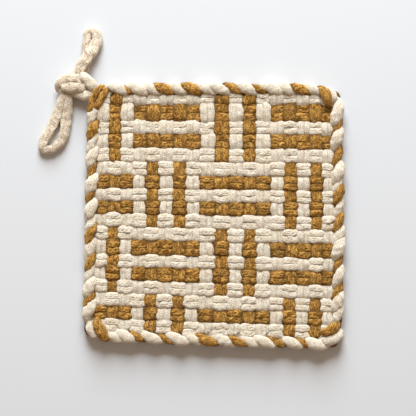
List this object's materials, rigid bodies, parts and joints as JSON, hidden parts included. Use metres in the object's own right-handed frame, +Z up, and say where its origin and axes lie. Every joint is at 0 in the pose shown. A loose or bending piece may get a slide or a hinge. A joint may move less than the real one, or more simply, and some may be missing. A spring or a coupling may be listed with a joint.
{
  "type": "woven potholder",
  "caption": "Square potholder of knitted cotton loops in plain weave, with a chained edge and a knotted hanging loop at one corner, lying flat.",
  "frame": {"origin": "on the table, in the middle of the footprint of the mat and its hanging loop", "axes": "+Z up from the table, +X to the right along the mat's rows and +Y away along its columns, with the hanging loop at the corner towards -X and +Y"},
  "size_m": [0.1828, 0.191, 0.0131],
  "materials": {
    "ochre_cotton": "heathered ochre knitted cotton tubing, matt",
    "cream_cotton": "unbleached cream knitted cotton tubing with fine brown flecks, matt"
  },
  "bodies": {
    "root": {"woven_mat": "ochre_cotton", "hanging_loop": "cream_cotton"}
  },
  "joints": []
}
